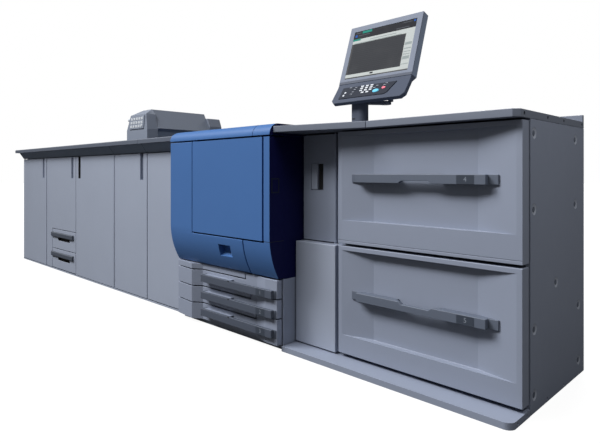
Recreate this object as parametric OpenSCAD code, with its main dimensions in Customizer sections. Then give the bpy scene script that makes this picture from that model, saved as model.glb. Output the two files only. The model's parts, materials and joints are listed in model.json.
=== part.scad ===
/* [Line of units] */
// Width of the paper feeder at the right end
feeder_w = 1075; // [950:5:1300]
// Width of the print engine
engine_w = 840; // [780:5:1000]
// Width of the relay unit left of the engine
relay_w = 456; // [350:1:700]
// Width of the cabinet that carries the sheet inserter
inserter_w = 460; // [420:1:700]
// Width of the stacker bay
stacker_w = 665; // [450:1:900]
// Width of the finisher's right bay, with the two small drawers
bay_right_w = 634; // [590:1:900]
// Width of the finisher's left bay
bay_left_w = 598; // [400:1:900]
// How far the worktop stands out past the left end
end_overhang = 37; // [5:1:80]
// Depth of the print engine, from its blue front to its back
engine_d = 860; // [820:5:1000]
// How far the other units' backs stand in front of the engine's back
back_set = 59; // [20:1:100]
// How far the engine's blue front stands in front of the plinth
engine_proud = 70; // [50:1:90]
// Height of every worktop
top_h = 1040; // [1035:1:1100]
// Thickness of every worktop
top_t = 28; // [18:1:40]

/* [Feeder] */
// Height of the feeder's plinth
plinth_h = 24; // [15:1:30]
// Radius of the plinth's front corner
plinth_r = 30; // [10:1:60]
// Drawer fronts, behind the plinth's front
drawer_set = 92; // [80:1:110]
// Side panel's front edge, behind the plinth's front
side_set = 153; // [150:1:180]
// Thickness of the side panel
side_t = 20; // [12:1:30]
// Width of the column left of the drawers
column_w = 272; // [266:1:300]
// Lower edge of the lower drawer front
low_drawer_z = 40; // [34:1:60]
// Lower edge of the upper drawer front
high_drawer_z = 520; // [515:1:600]
// Depth of the hollow in a drawer front
recess_d = 30; // [15:1:38]
// Width of the sloping sides of that hollow
recess_slope = 150; // [80:1:180]
// Height of the sill under the upper hollow
high_sill = 100; // [60:1:140]
// Height of the sill under the lower hollow
low_sill = 82; // [60:1:140]
// Height of a drawer's handle bar
bar_h = 36; // [24:1:50]
// How far a handle bar stands in front of its drawer
bar_proud = 15; // [8:1:22]
// Thickness of a handle bar
bar_t = 20; // [10:1:22]
// How far the lower bar hangs below the middle of its hollow
low_bar_drop = 5; // [-40:1:40]
// How far the upper bar hangs below the middle of its hollow
high_bar_drop = 0; // [-40:1:40]
// Depth of a drawer box behind its front
drawer_box_d = 510; // [350:1:530]
// Width of the worktop section that flares towards the engine
flare_w = 452; // [420:1:600]
// Worktop's front edge, behind the plinth's front
worktop_set = 52; // [40:1:80]
// How far the flared section comes forward
flare_reach = 102; // [40:1:115]
// Height of the upstand along the worktop's back edge
rail_h = 28; // [10:1:60]
// Width of the column door
column_door_w = 204; // [180:1:210]
// Column door's front, behind the plinth's front
column_set = 145; // [140:1:150]
// Column door's lower edge
column_door_z = 510; // [480:1:560]

/* [Engine] */
// Height of the rounded cap over the blue front
cap_h = 54; // [30:1:80]
// How far the cap stands above the worktops
cap_rise = 15; // [10:1:60]
// Radius of the cap's upper left corner
cap_corner = 36; // [20:1:44]
// Lower edge of the blue covers
cover_z = 336; // [336:1:345]
// Break line between the upper and the lower blue covers
break_z = 510; // [480:1:560]
// How far the lower covers run back at their lower edge
cover_back = 57; // [30:1:60]
// How far above the break line the covers begin to curve back
bend_up = 30; // [10:1:50]
// Width of the left blue strip, up to the toner door
strip_w = 216; // [160:1:260]
// Width of the toner door
toner_w = 566; // [480:1:570]
// Width of the lower door, from the engine's left side
low_door_w = 642; // [560:1:700]
// Tray fronts, in front of the plinth's front
tray_proud = 20; // [10:1:25]
// Height of one tray's pitch
tray_pitch = 91; // [88:1:91]
// Lower edge of the tray stack
tray_z = 24; // [24:1:27]
// Step between the left and right halves of the tray fronts
tray_step = 33; // [20:1:33]
// Thickness of a tray front
tray_t = 30; // [26:1:34]
// Height of a tray's handle bar
tray_bar_h = 38; // [28:1:38]
// Depth of a tray box behind its front
tray_box_d = 560; // [400:1:680]

/* [Doors] */
// Front of the doors, behind the plinth's front
door_set = 39; // [30:1:60]
// Thickness of a door
door_t = 30; // [24:1:36]
// Lower edge of the doors
door_z = 15; // [15:1:20]
// Upper edge of the doors, below the worktop's surface
door_drop = 88; // [80:1:140]
// Gap between two doors
door_gap = 8; // [6:1:12]
// Distance of a hinge pin from the two faces of its door
pin_in = 8; // [8:0.5:10]
// Radius of a hinge pin
pin_r = 4; // [2.5:0.5:4.5]
// Width of a grip recess
grip_w = 42; // [30:1:60]
// Height of a grip recess
grip_h = 172; // [80:1:220]
// Distance of a grip recess from the door's free edge
grip_in = 45; // [30:1:90]
// Depth of a grip recess
grip_d = 18; // [10:1:19]
// Left worktop's front edge, in front of the plinth's front
overhang = 23; // [10:1:30]
// Width of the small drawers
small_w = 488; // [440:1:492]
// Height of one small drawer
small_h = 160; // [140:1:165]
// Depth of a small drawer's box
small_box_d = 370; // [250:1:380]

/* [Sheet inserter] */
// Width of the inserter
hopper_w = 283; // [240:1:360]
// Height of the inserter over the worktop
hopper_h = 224; // [210:1:260]
// Inserter's front, behind the plinth's front
hopper_set = 100; // [60:1:120]
// Length of the inserter's hood
hopper_d = 513; // [420:1:560]
// Height of the box behind the hood
rear_box_h = 189; // [150:1:200]

/* [Display] */
// Width of the display
display_w = 392; // [340:1:440]
// Height of the display along its slope
display_h = 298; // [260:1:340]
// Thickness of the display
display_t = 38; // [28:1:44]
// Lean of the display from upright, in degrees
display_lean = 18.5; // [10:0.5:25]
// Width of the frame around the glass
bezel = 26; // [20:1:45]
// Display's lower front edge above the worktop
display_z = 194; // [190:1:220]
// Display's lower front edge, behind the plinth's front
display_set = 200; // [195:1:220]
// Display's middle, from the feeder's right side
display_in = 694; // [640:1:720]
// Post's middle, from the feeder's right side
post_in = 767; // [750:1:780]
// Height of the post
post_h = 95; // [70:1:97]

/* [Fits] */
// Gap at a pin or a runner
fit = 0.3; // [0.2:0.05:0.5]
// Gap that moving pieces keep elsewhere
clear = 6; // [5:0.5:8]

/* [Hidden] */
$fn = 64;

// Colours of the finishes
pale = [0.63, 0.67, 0.74];
mid_grey = [0.5, 0.53, 0.6];
dark_grey = [0.2, 0.23, 0.27];
blue = [0.24, 0.38, 0.62];
black = [0.08, 0.09, 0.1];

// Edges of the units along the line, each as [left, right]
line_l = feeder_w + engine_w + relay_w + inserter_w + stacker_w + bay_right_w + bay_left_w + end_overhang;
x_r = line_l / 2;
feeder_x = [x_r - feeder_w, x_r];
engine_x = [feeder_x[0] - engine_w, feeder_x[0]];
relay_x = [engine_x[0] - relay_w, engine_x[0]];
inserter_x = [relay_x[0] - inserter_w, relay_x[0]];
stacker_x = [inserter_x[0] - stacker_w, inserter_x[0]];
bay_right_x = [stacker_x[0] - bay_right_w, stacker_x[0]];
bay_left_x = [bay_right_x[0] - bay_left_w, bay_right_x[0]];

// Planes along the depth
y_blue = -engine_d / 2;
y_end = engine_d / 2;
y_plinth = y_blue + engine_proud;
y_unit_back = y_end - back_set;
y_drawer = y_plinth + drawer_set;
y_side = y_plinth + side_set;
y_door = y_plinth + door_set;
y_tray = y_plinth - tray_proud;
y_body = y_door + door_t + clear;

// Heights
z_under_top = top_h - top_t;
base_h = 10;
door_top = top_h - door_drop;
cap_top = top_h + cap_rise;
cap_z = cap_top - cap_h;
cover_top = cap_z - clear - 2;

// Small seam between pieces that stand side by side
seam = 1;
// Runner ledges: height, and how far a box sits in over its ledge
ledge_h = 10;
ledge_lap = 8;
box_wall = 6;
pin_l = 14;
// How deep a pin is seated in its rail
pin_seat = 2;
pin_bore = pin_r + fit;

module slab(x, y, z) {
    translate([x[0], y[0], z[0]]) cube([x[1] - x[0], y[1] - y[0], z[1] - z[0]]);
}

module along_x(x) {
    translate([x[0], 0, 0]) rotate([90, 0, 90]) linear_extrude(x[1] - x[0]) children();
}

module along_y(y) {
    translate([0, y[1], 0]) rotate([90, 0, 0]) linear_extrude(y[1] - y[0]) children();
}

module along_z(z) {
    translate([0, 0, z[0]]) linear_extrude(z[1] - z[0]) children();
}

module x_rod(x, y, z, r) {
    translate([x[0], y, z]) rotate([0, 90, 0]) cylinder(h = x[1] - x[0], r = r);
}

module z_rod(x, y, z, r) {
    translate([x, y, z[0]]) cylinder(h = z[1] - z[0], r = r);
}

// Hinge pin that stands up from a rail at z, with a shoulder that carries the door at door_low
module lower_pin(x, y, z, door_low) {
    z_rod(x, y, [z - pin_seat, door_low - fit], pin_r + 3);
    z_rod(x, y, [z, door_low + pin_l - 2], pin_r);
}

// Hinge pin that hangs from a rail at z into the top of a door
module upper_pin(x, y, z, door_high) {
    z_rod(x, y, [door_high - pin_l + 2, z + pin_seat], pin_r);
}

// Door leaf with one front corner rounded about its hinge pin, and a bore for the pin at each end
module leaf(x, y, z, hinge_left) {
    ax = hinge_left ? x[0] + pin_in : x[1] - pin_in;
    ay = y[0] + pin_in;
    rest = hinge_left ? [ax, x[1]] : [x[0], ax];
    edge = hinge_left ? [x[0], ax] : [ax, x[1]];
    difference() {
        along_z(z) union() {
            translate([rest[0], y[0]]) square([rest[1] - rest[0], y[1] - y[0]]);
            translate([edge[0], ay]) square([edge[1] - edge[0], y[1] - ay]);
            translate([ax, ay]) circle(r = pin_in);
        }
        z_rod(ax, ay, [z[0] - 1, z[0] + pin_l], pin_bore);
        z_rod(ax, ay, [z[1] - pin_l, z[1] + 1], pin_bore);
    }
}

// Open drawer box behind a front's back plane
module drawer_box(x, y, z) {
    difference() {
        slab(x, y, z);
        slab([x[0] + box_wall, x[1] - box_wall], [y[0] - 1, y[1] - box_wall], [z[0] + box_wall, z[1] + 1]);
    }
}

// Pair of runner ledges under a drawer box that stands between two walls
module ledges(walls, box, y, box_z) {
    z = [box_z - fit - ledge_h, box_z - fit];
    slab([walls[0], box[0] + ledge_lap], y, z);
    slab([box[1] - ledge_lap, walls[1]], y, z);
}

// Paper feeder
drawer_edge = 3;
drawer_x = [feeder_x[0] + column_w, x_r - drawer_edge];
drawer_back = y_side - clear;
column_r = drawer_x[0] - clear - 1;
low_front_z = [low_drawer_z, high_drawer_z - 2 * clear];
high_front_z = [high_drawer_z, z_under_top - clear - 1];
drawer_box_x = [drawer_x[0] + 33, x_r - side_t - 20];
drawer_box_y = [drawer_back, drawer_back + drawer_box_d];
box_lift = 20;
box_drop = 70;
jamb_y = y_side - 3;

module feeder_plinth() {
    depth = jamb_y - y_plinth;
    hole_in = [45, 122];
    color(mid_grey) difference() {
        along_z([0, plinth_h]) union() {
            translate([feeder_x[0] + clear, y_plinth]) square([feeder_w - clear - plinth_r, depth]);
            translate([x_r - plinth_r, y_plinth + plinth_r]) square([plinth_r, depth - plinth_r]);
            translate([x_r - plinth_r, y_plinth + plinth_r]) circle(r = plinth_r);
        }
        for (d = hole_in) x_rod([x_r - 20, x_r + 1], y_plinth + d, plinth_h / 2, 5);
    }
}

module feeder_floor() {
    color(dark_grey) slab([column_r, x_r - side_t], [jamb_y, y_unit_back - side_t], [0, plinth_h]);
}

// Centres of the round plugs in the side panel, from its front edge and from the floor
plug_high = z_under_top - 48;
plug_mid = z_under_top - 311;
plug_spots = [[32, plug_high], [32, plug_mid], [35, 288], [35, 62], [467, plug_high - 4],
    [467, plug_mid], [247, 419], [507, 288], [507, 63]];
plug_r = 20;
plug_depth = 3;
foot_holes = [157, 329];

module feeder_side_panel() {
    color(mid_grey) difference() {
        slab([x_r - side_t, x_r], [y_side, y_unit_back], [0, z_under_top]);
        for (p = plug_spots) x_rod([x_r - plug_depth, x_r + 1], y_side + p[0], p[1], plug_r);
        for (d = foot_holes) x_rod([x_r - side_t - 1, x_r + 1], y_side + d, 12, 5);
    }
}

column_front = y_plinth + column_set + 35;
column_door_x = [feeder_x[0] + clear + 3, feeder_x[0] + clear + 3 + column_door_w];
jamb_l = column_door_x[1] + clear;

module feeder_column() {
    color(mid_grey) along_z([0, z_under_top]) polygon([[feeder_x[0], column_front],
        [jamb_l, column_front], [jamb_l, jamb_y], [column_r, jamb_y],
        [column_r, y_unit_back], [feeder_x[0], y_unit_back]]);
}

module feeder_back_panel() {
    color(mid_grey) slab([column_r, x_r - side_t], [y_unit_back - side_t, y_unit_back], [0, z_under_top]);
}

module drawer_runners() {
    color(dark_grey) for (z = [low_front_z[0], high_front_z[0]])
        ledges([column_r, x_r - side_t], drawer_box_x, [y_side + clear, y_unit_back - side_t], z + box_lift);
}

// Sloping sides of the hollow in a drawer front
slope_l = [drawer_x[0] + 20, drawer_x[0] + 20 + recess_slope];
slope_r = [drawer_x[1] - 20 - recess_slope, drawer_x[1] - 20];

// Lip over the hollow, and the middle of the hollow's height
hollow_lip = 18;

function hollow_mid(z, sill) = (z[0] + sill + z[1] - hollow_lip) / 2;

function slope_y(x) = x < slope_l[1]
    ? y_drawer + recess_d * (x - slope_l[0]) / recess_slope
    : y_drawer + recess_d * (slope_r[1] - x) / recess_slope;

// Drawer front with its hollow, a fine groove over its lower edge where it has one, and the box behind it
module feeder_drawer(z, sill, groove) {
    groove_z = z[0] + 12;
    groove_w = 2;
    color(pale) union() {
        difference() {
            slab(drawer_x, [y_drawer, drawer_back], z);
            along_z([z[0] + sill, z[1] - hollow_lip]) polygon([[slope_l[0], y_drawer],
                [slope_l[0], y_drawer - 1],
                [slope_r[1], y_drawer - 1], [slope_r[1], y_drawer], [slope_r[0], y_drawer + recess_d],
                [slope_l[1], y_drawer + recess_d]]);
            if (groove) slab([drawer_x[0] - 1, drawer_x[1] + 1], [y_drawer - 1, y_drawer + groove_w],
                [groove_z, groove_z + groove_w]);
        }
        drawer_box(drawer_box_x, drawer_box_y, [z[0] + box_lift, z[1] - box_drop]);
    }
}

// Bar that bridges the hollow of a drawer front, with a foot at each end seated on the sloping sides
bar_in = [88, 101];
foot_out = 37;
foot_in = 14;
foot_sunk = 6;

module feeder_handle(mid_z, notch_up) {
    ends = [slope_l[0] + bar_in[0], slope_r[1] - bar_in[1]];
    out = [ends[0] - foot_out, ends[1] + foot_out];
    seat = [ends[0] + foot_in, ends[1] - foot_in];
    face = y_drawer - bar_proud;
    inner = face + bar_t;
    foot_face = y_drawer + foot_sunk;
    z = [mid_z - bar_h / 2, mid_z + bar_h / 2];
    mid = (ends[0] + ends[1]) / 2;
    notch_half = [75, 60];
    notch_h = 10;
    notch_z = notch_up ? z[1] : z[0];
    notch_end = notch_up ? notch_z - notch_h : notch_z + notch_h;
    color(dark_grey) difference() {
        along_z(z) polygon([[ends[0], face], [ends[1], face], [ends[1], foot_face], [out[1], foot_face],
            [out[1], slope_y(out[1])], [seat[1], slope_y(seat[1])], [seat[1], inner], [seat[0], inner],
            [seat[0], slope_y(seat[0])], [out[0], slope_y(out[0])], [out[0], foot_face],
            [ends[0], foot_face]]);
        along_y([face - 1, inner + 1]) polygon([[mid - notch_half[0], notch_z],
            [mid - notch_half[1], notch_end], [mid + notch_half[1], notch_end],
            [mid + notch_half[0], notch_z]]);
    }
}

module upper_drawer() {
    feeder_drawer(high_front_z, high_sill, true);
}

module upper_drawer_handle() {
    feeder_handle(hollow_mid(high_front_z, high_sill) - high_bar_drop, false);
}

module lower_drawer() {
    feeder_drawer(low_front_z, low_sill, false);
}

module lower_drawer_handle() {
    feeder_handle(hollow_mid(low_front_z, low_sill) - low_bar_drop, true);
}

flare_seam = feeder_x[0] + flare_w;
column_pin = [column_door_x[1] - pin_in, y_plinth + column_set + pin_in];
column_door_top = z_under_top - clear - 2;
pull_drop = 258;
pull_h = 123;
pull_in = 48;
pull_w = 82;

module upstand(x) {
    slab(x, [y_unit_back - 16, y_unit_back], [top_h, top_h + rail_h]);
}

end_holes = [48, 264, 434, 654];
end_hole_r = 7;

module feeder_worktop() {
    x = [flare_seam + seam, x_r];
    chamfer = 20;
    front = y_plinth + worktop_set;
    color(dark_grey) union() {
        difference() {
            along_z([z_under_top, top_h]) polygon([[x[0], front], [x[1] - chamfer, front],
                [x[1], front + chamfer], [x[1], y_unit_back], [x[0], y_unit_back]]);
            for (d = end_holes) x_rod([x_r - 30, x_r + 1], front + d, top_h - top_t / 2, end_hole_r);
        }
        upstand(x);
    }
}

module flared_worktop() {
    x = [feeder_x[0] + 3, flare_seam - seam];
    front = y_plinth + worktop_set;
    color(dark_grey) union() {
        along_z([z_under_top, top_h]) polygon([[x[0], front - flare_reach], [x[1], front],
            [x[1], y_unit_back], [x[0], y_unit_back]]);
        upstand(x);
        upper_pin(column_pin[0], column_pin[1], z_under_top, column_door_top);
    }
}

module column_door() {
    y = [y_plinth + column_set, y_plinth + column_set + 25];
    pull_x = [column_door_x[0] + pull_in, column_door_x[0] + pull_in + pull_w];
    pull_z = [column_door_top - pull_drop, column_door_top - pull_drop + pull_h];
    color(mid_grey) difference() {
        leaf(column_door_x, y, [column_door_z, column_door_top], false);
        slab(pull_x, [y[0] - 1, y[0] + 15], pull_z);
    }
}

module column_lower_cover() {
    x = [feeder_x[0] + clear, jamb_l + 34];
    front = y_drawer + 1;
    z = [plinth_h + clear, column_door_z - clear];
    color(mid_grey) union() {
        along_z(z) polygon([[x[0], front], [x[1], front], [x[1], jamb_y], [jamb_l, jamb_y],
            [jamb_l, column_front], [x[0], column_front]]);
        lower_pin(column_pin[0], column_pin[1], z[1], column_door_z);
    }
}

// Print engine
bay_wall = 20;
bay_x = [engine_x[0] + bay_wall, engine_x[1] - bay_wall];
tray_edge = 3;
tray_x = [engine_x[0] + tray_edge, engine_x[1] - tray_edge];
tray_back = y_tray + tray_t;
bay_front = tray_back + clear;
cover_seat = y_blue + 90;
bay_top = cover_z - clear;
tray_box_x = [bay_x[0] + 23, bay_x[1] - 23];
toner_x = [engine_x[0] + strip_w + clear, engine_x[0] + strip_w + clear + toner_w];
low_door_r = engine_x[0] + low_door_w;
toner_z = [break_z + 1, cover_top];
low_door_pin = [engine_x[0] + 3 + pin_in, y_blue + 68];
toner_pin = [toner_x[0] + pin_in, y_blue + pin_in];
bracket_z = [toner_z[0] - fit - 3, toner_z[0] - fit];

base_t = 20;
base_in = 10;

module engine_base() {
    color(dark_grey) slab([engine_x[0] + base_in, engine_x[1] - base_in], [cover_seat, y_end - base_in],
        [0, base_t]);
}

module tray_bay_walls() {
    color(mid_grey) {
        slab([engine_x[0], bay_x[0]], [bay_front, y_end], [base_t, bay_top]);
        slab([bay_x[1], engine_x[1]], [bay_front, y_end], [base_t, bay_top]);
        slab([bay_x[0] + seam, bay_x[1] - seam], [y_end - bay_wall, y_end], [base_t, bay_top]);
    }
}

// Upper limits of the tray fronts: tray 1 is the top one, and entry 3 is the foot of the stack
function tray_left_z(i) = tray_z + (3 - i) * tray_pitch;
function tray_right_z(i) = i == 3 ? tray_left_z(i) : tray_left_z(i) + tray_step;
function tray_step_x(i) = bay_x[1] - 236 + i * 41;

// Tray boxes run over the higher right half of the tray front below them
tray_gap = 3;
tray_box_z = tray_step + clear;
tray_box_h = 45;

// Plan of a tray front: a ridge at the left, then a hollow that the handle bridges
ridge_x = tray_x[0] + 161;
hollow_x = [ridge_x + 55, tray_x[1] - 165];
hollow_y = y_tray + 20;
bevel_end = hollow_x[1] + 83;

module tray_plan() {
    polygon([[tray_x[0], y_tray + 2], [ridge_x, y_tray - 15], [hollow_x[0], hollow_y],
        [hollow_x[1], hollow_y], [bevel_end, y_tray], [tray_x[1], y_tray], [tray_x[1], tray_back],
        [tray_x[0], tray_back]]);
}

module tray_runners() {
    color(dark_grey) for (i = [1:3])
        ledges(bay_x, tray_box_x, [bay_front, y_end - bay_wall], tray_left_z(i) + tray_box_z);
}

// Fixed plate over the top tray, which also carries the lower door's lower pin
module tray_filler_plate() {
    z = [tray_left_z(0) + tray_gap, bay_top];
    color(pale) union() {
        intersection() {
            along_z(z) tray_plan();
            slab([tray_x[0] - 1, tray_step_x(0) - tray_gap], [y_tray - 20, tray_back + 1], z);
        }
        slab([tray_x[0], bay_x[0]], [tray_back - 1, bay_front], z);
        lower_pin(low_door_pin[0], low_door_pin[1], bay_top, cover_z);
    }
}

// Housing of the engine, with the bracket that carries the toner door's lower pin
module engine_body() {
    color(blue) union() {
        slab(engine_x, [cover_seat, y_end], [bay_top, cap_z]);
        slab([toner_pin[0] - pin_in, toner_pin[0] + pin_in], [y_blue + 2, cover_seat], bracket_z);
        lower_pin(toner_pin[0], toner_pin[1], bracket_z[0], toner_z[0]);
    }
}

module engine_cap() {
    corner_c = [engine_x[0] + cap_corner, cap_top - cap_corner];
    seam_x = toner_x[1] - 70;
    seam_w = 3;
    seam_l = 300;
    color(blue) union() {
        difference() {
            intersection() {
                along_x(engine_x) union() {
                    translate([y_blue + cap_h, cap_z]) square([engine_d - cap_h, cap_h]);
                    intersection() {
                        translate([y_blue, cap_z]) square([cap_h, cap_h]);
                        translate([y_blue + cap_h, cap_z]) circle(r = cap_h);
                    }
                }
                along_y([y_blue - 1, y_end + 1]) union() {
                    translate([corner_c[0], cap_z - 1]) square([engine_w, cap_h + 2]);
                    translate([engine_x[0] - 1, cap_z - 1]) square([cap_corner + 1, cap_h - cap_corner + 1]);
                    translate(corner_c) circle(r = cap_corner + 2);
                }
            }
            slab([seam_x, seam_x + seam_w], [y_blue - 1, y_blue + seam_l], [cap_z - 1, cap_top + 1]);
        }
        upper_pin(toner_pin[0], toner_pin[1], cap_z, cover_top);
        upper_pin(low_door_pin[0], low_door_pin[1], cap_z, cover_top);
    }
}

// Side view of the blue covers: upright above, curving back towards their lower edge
bend_z = break_z + bend_up;
bulge_r = (pow(bend_z - cover_z, 2) + pow(cover_back, 2)) / (2 * cover_back);

module cover_side(back) {
    translate([y_blue, bend_z]) square([back - y_blue, cover_top - bend_z]);
    intersection() {
        translate([y_blue - 10, cover_z]) square([back - y_blue + 10, bend_z - cover_z]);
        translate([y_blue + bulge_r, bend_z]) circle(r = bulge_r, $fn = 720);
    }
}

split_z = bracket_z[0] - 5;

module engine_right_cover() {
    x = [low_door_r + door_gap, engine_x[1]];
    color(blue) difference() {
        along_x(x) cover_side(cover_seat);
        slab([x[0] - 1, toner_x[1] + 2 * clear], [y_blue - 1, cover_seat + 1], [split_z, cover_top + 1]);
    }
}

toner_t = 60;
scoop_in = [200, 104];
scoop_r = 30;
scoop_drop = 74;
scoop_back = 22;
scoop_c = [y_blue + scoop_back, break_z - scoop_drop];

module toner_door() {
    color(blue) leaf(toner_x, [y_blue, y_blue + toner_t], toner_z, true);
}

module lower_front_door() {
    x = [engine_x[0] + 3, low_door_r];
    back = cover_seat - 10;
    color(blue) difference() {
        along_x(x) cover_side(back);
        slab([engine_x[0] + strip_w, x[1] + 1], [y_blue - 1, back + 1], [split_z, cover_top + 1]);
        x_rod([low_door_r - scoop_in[0], low_door_r - scoop_in[1]], scoop_c[0], scoop_c[1], scoop_r);
        z_rod(low_door_pin[0], low_door_pin[1], [cover_z - 1, cover_z + pin_l], pin_bore);
        z_rod(low_door_pin[0], low_door_pin[1], [cover_top - pin_l, cover_top + 1], pin_bore);
    }
}

module paper_tray(i) {
    low_l = tray_left_z(i) + tray_gap;
    low_r = tray_right_z(i) + tray_gap;
    high_l = tray_left_z(i - 1) - tray_gap;
    high_r = tray_right_z(i - 1) - tray_gap;
    low_step = tray_step_x(i) - tray_gap;
    high_step = tray_step_x(i - 1) + tray_gap;
    box_z = tray_left_z(i) + tray_box_z;
    color(pale) union() {
        intersection() {
            along_z([tray_z, tray_right_z(0)]) tray_plan();
            along_y([y_tray - 20, tray_back]) polygon(i == 3
                ? [[tray_x[0], low_l], [tray_x[1], low_l], [tray_x[1], high_r], [high_step, high_r],
                    [high_step, high_l], [tray_x[0], high_l]]
                : [[tray_x[0], low_l], [low_step, low_l], [low_step, low_r], [tray_x[1], low_r],
                    [tray_x[1], high_r], [high_step, high_r], [high_step, high_l], [tray_x[0], high_l]]);
        }
        drawer_box(tray_box_x, [tray_back, tray_back + tray_box_d], [box_z, box_z + tray_box_h]);
    }
}

tray_bar_in = 35;
tray_bar_foot = 18;
tray_bar_drop = 17;

// Bar over the hollow of a tray front, on a foot at its left end and on the flat at its right end
module tray_handle(i) {
    top = tray_left_z(i - 1) - tray_bar_drop;
    face = y_tray - 20;
    bar_back = face + 15;
    x = [hollow_x[0] + tray_bar_in, tray_x[1] - 20];
    pad = [tray_x[1] - 5, y_tray - 4];
    color(dark_grey) along_z([top - tray_bar_h, top]) polygon([[x[0], face], [x[1], face], [x[1], pad[1]],
        pad, [pad[0], y_tray], [bevel_end, y_tray], [bevel_end, bar_back], [x[0] + tray_bar_foot, bar_back],
        [x[0] + tray_bar_foot, hollow_y], [x[0], hollow_y]]);
}

module tray_1() {
    paper_tray(1);
}

module tray_1_handle() {
    tray_handle(1);
}

module tray_2() {
    paper_tray(2);
}

module tray_2_handle() {
    tray_handle(2);
}

module tray_3() {
    paper_tray(3);
}

module tray_3_handle() {
    tray_handle(3);
}

// Units left of the engine
half_gap = door_gap / 2;
door_y = [y_door, y_door + door_t];
door_h = [door_z, door_top];
left_door_x = [bay_left_x[0] + half_gap, bay_left_x[1] - half_gap];
right_door_x = [bay_right_x[0] + half_gap, bay_right_x[1] - half_gap];
stacker_door_x = [stacker_x[0] + half_gap, stacker_x[1] - half_gap];
inserter_door_x = [inserter_x[0] + half_gap, inserter_x[1] - half_gap];
door_pin_y = y_door + pin_in;
door_pins = [left_door_x[0] + pin_in, right_door_x[0] + pin_in, stacker_door_x[1] - pin_in,
    inserter_door_x[0] + pin_in];
fascia_z = [door_top + clear - 1, z_under_top];

module base_frame() {
    color(black) union() {
        slab([bay_left_x[0], relay_x[1] - seam], [y_door + 2, y_unit_back], [0, base_h]);
        for (x = door_pins) lower_pin(x, door_pin_y, base_h, door_z);
    }
}

module cabinet(x) {
    color(pale) slab(x, [y_body, y_unit_back], [base_h, z_under_top]);
}

// The relay unit docks against the engine's side
module relay_body() {
    cabinet([relay_x[0] + seam, relay_x[1]]);
}

module relay_front_panel() {
    color(pale) slab([relay_x[0] + half_gap, relay_x[1] - half_gap], [y_door, y_body], door_h);
}

module inserter_cabinet() {
    cabinet([inserter_x[0] + seam, inserter_x[1] - seam]);
}

module stacker_body() {
    cabinet([stacker_x[0] + seam, stacker_x[1] - seam]);
}

// Small drawers in the finisher's right bay
small_x = [right_door_x[1] - small_w, right_door_x[1]];
small_gap = 6;
small_z = [door_z + 3, door_z + 3 + small_h + small_gap];
small_bay = [small_x[0] - 10, bay_right_x[1] - seam - 12];
small_box_x = [small_x[0] + 18, small_bay[1] - 18];
small_bay_top = small_z[1] + small_h + 12;

module finisher_body() {
    x = [bay_left_x[0] + seam, bay_right_x[1] - seam];
    color(pale) difference() {
        slab(x, [y_body, y_unit_back], [base_h, z_under_top]);
        slab(small_bay, [y_body - 1, y_door + door_t + small_box_d + 25], [base_h - 1, small_bay_top]);
    }
}

module small_drawer_runners() {
    color(dark_grey) for (z = small_z)
        ledges(small_bay, small_box_x, [y_body + clear, y_door + door_t + small_box_d + 25], z + 16);
}

// Front edges of the worktop sections left of the engine
section_x = [[bay_left_x[0] - end_overhang, stacker_x[1] - 9 - seam],
    [stacker_x[1] - 9 + seam, inserter_x[1] - 12 - seam],
    [inserter_x[1] - 12 + seam, relay_x[1] - 2]];

fascia_lean = 36;

module front_fascia() {
    color(dark_grey) union() {
        along_x([bay_left_x[0], relay_x[1] - 2]) polygon([[y_door + 2, fascia_z[0]],
            [y_door - fascia_lean, fascia_z[1]], [y_body, fascia_z[1]], [y_body, fascia_z[0]]]);
        for (x = door_pins) upper_pin(x, door_pin_y, fascia_z[0], door_top);
    }
}

module left_worktops() {
    edge_r = 6;
    front = y_plinth - overhang;
    color(mid_grey) for (x = section_x) along_x(x) union() {
        translate([front + edge_r, z_under_top]) square([y_unit_back - front - edge_r, top_t]);
        translate([front, z_under_top]) square([edge_r, top_t - edge_r]);
        translate([front + edge_r, top_h - edge_r]) circle(r = edge_r);
    }
}

// Grip recess, open at the door's upper edge
module grip_cut(x) {
    slab([x, x + grip_w], [y_door - 1, y_door + grip_d], [door_top - grip_h, door_top + 1]);
}

module finisher_left_door() {
    color(pale) difference() {
        leaf(left_door_x, door_y, door_h, true);
        grip_cut(left_door_x[1] - grip_in - grip_w);
    }
}

module finisher_right_door() {
    color(pale) difference() {
        leaf(right_door_x, door_y, door_h, true);
        grip_cut(right_door_x[1] - grip_in - grip_w);
        slab([small_x[0] - clear, right_door_x[1] + 1], [y_door - 1, y_door + door_t + 1],
            [door_z - 1, small_z[1] + small_h + clear]);
    }
}

module stacker_door() {
    color(pale) difference() {
        leaf(stacker_door_x, door_y, door_h, false);
        grip_cut(stacker_door_x[0] + grip_in);
    }
}

inserter_grip_x = [inserter_door_x[1] - grip_in - grip_w, inserter_door_x[1] - grip_in];

module inserter_door() {
    color(pale) difference() {
        leaf(inserter_door_x, door_y, door_h, true);
        slab(inserter_grip_x, [y_door - 1, y_door + door_t + 1], [door_top - grip_h, door_top + 1]);
    }
}

// Back plate of the grip, let into the notch of the inserter door
module inserter_door_grip() {
    color(dark_grey) slab(inserter_grip_x, [y_door + grip_d, y_door + door_t], [door_top - grip_h, door_top]);
}

// Finger pocket under a small drawer's handle bar
pocket_in = 125;
pocket_w = 244;
pocket_x = [small_x[0] + pocket_in, small_x[0] + pocket_in + pocket_w];
pocket_h = 27;
small_bar_z = 96;

module small_drawer(z) {
    back = y_door + door_t;
    color(pale) union() {
        difference() {
            slab(small_x, [y_door, back], [z, z + small_h]);
            slab(pocket_x, [y_door - 1, y_door + 20], [z + small_bar_z - pocket_h, z + small_bar_z + 10]);
        }
        drawer_box(small_box_x, [back, back + small_box_d], [z + 16, z + small_h - 30]);
    }
}

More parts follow.
